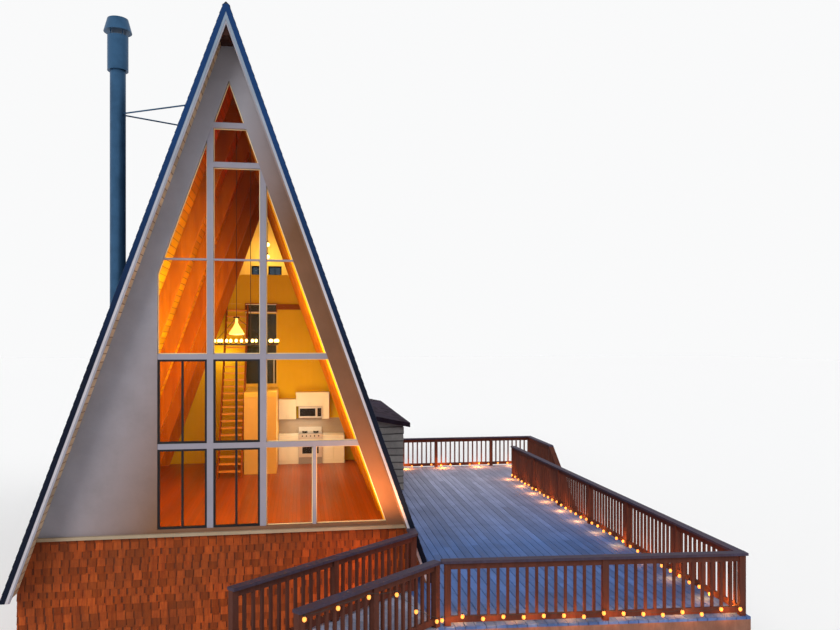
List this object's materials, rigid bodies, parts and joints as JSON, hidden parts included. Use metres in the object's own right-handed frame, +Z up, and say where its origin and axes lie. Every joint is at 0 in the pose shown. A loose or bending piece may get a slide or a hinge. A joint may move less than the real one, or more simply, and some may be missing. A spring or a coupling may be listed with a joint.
{
  "type": "a-frame cabin",
  "caption": "Steep a-frame cabin with a glazed front gable, a lean-to, a raised deck with baluster railings, a walkway, a deck stair and a braced stove flue.",
  "frame": {"origin": "on the ground, in the middle of the front wall's underside", "axes": "+X to the right along the front wall, +Y back along the ridge, +Z up"},
  "size_m": [11.858, 18.9889, 11.46],
  "materials": {
    "roof_shingle": "granular asphalt shingles, blue-black",
    "interior_plank": "warm oiled tongue-and-groove planks",
    "rafter_wood": "dark stained timber",
    "fascia_paint": "dark painted boards",
    "facade_paint": "pale grey paint on timber",
    "red_shingle": "red stained wood shingles",
    "glass": "clear window glass",
    "sash_black": "black satin",
    "floor_red": "varnished boards",
    "wall_gold": "warm painted board",
    "beam_brown": "brown stained beam",
    "cream_paint": "cream wall paint",
    "cabinet_white": "white painted cabinets",
    "appliance": "dark enamel",
    "tread_wood": "varnished treads",
    "lamp_metal": "dark metal",
    "shake_grey": "weathered grey shakes",
    "deck_board": "pale weathered deck boards",
    "deck_timber": "stained framing timber",
    "rail_wood": "red-brown stained railing",
    "flue_steel": "weathered sheet steel"
  },
  "bodies": {
    "root": {"roof_shingles_left": "roof_shingle", "roof_shingles_right": "roof_shingle", "roof_planks_left": "interior_plank", "roof_planks_right": "interior_plank", "fascia_front": "fascia_paint", "fascia_back": "fascia_paint", "ridge_cap": "roof_shingle", "ridge_beam": "rafter_wood", "rafters_left": "rafter_wood", "rafters_right": "rafter_wood", "front_wall": "facade_paint", "front_lower_wall": "red_shingle", "front_sill": "facade_paint", "front_mullions": "facade_paint", "front_rails": "facade_paint", "front_glass_lower": "glass", "front_glass_upper": "glass", "sliding_windows": "sash_black", "back_wall": "red_shingle", "back_glass": "glass", "skirt_walls": "red_shingle", "main_floor": "floor_red", "inner_wall": "wall_gold", "inner_window": "sash_black", "inner_window_glass": "glass", "loft_floor": "floor_red", "loft_beam": "beam_brown", "partition_wall": "cream_paint", "partition_lid": "cream_paint", "kitchen_base": "cabinet_white", "kitchen_wall_cabinets": "cabinet_white", "kitchen_appliances": "appliance", "loft_stair_treads": "tread_wood", "loft_stair_stringers": "beam_brown", "chandelier": "lamp_metal", "lean_to_roof": "roof_shingle", "lean_to_end_walls": "shake_grey", "lean_to_side_wall": "shake_grey", "deck_floor": "deck_board", "deck_rim": "deck_timber", "deck_joists": "deck_timber", "deck_beams": "deck_timber", "deck_posts": "deck_timber", "walkway_floor": "deck_board", "walkway_frame": "deck_timber", "railing_front": "rail_wood", "railing_right": "rail_wood", "railing_back": "rail_wood", "railing_walkway": "rail_wood", "landing_floor": "deck_board", "landing_frame": "deck_timber", "deck_stair_treads": "deck_board", "deck_stair_stringers": "deck_timber", "railing_landing": "rail_wood", "flue_pipe": "flue_steel", "flue_cap": "flue_steel", "flue_braces": "flue_steel"}
  },
  "joints": []
}
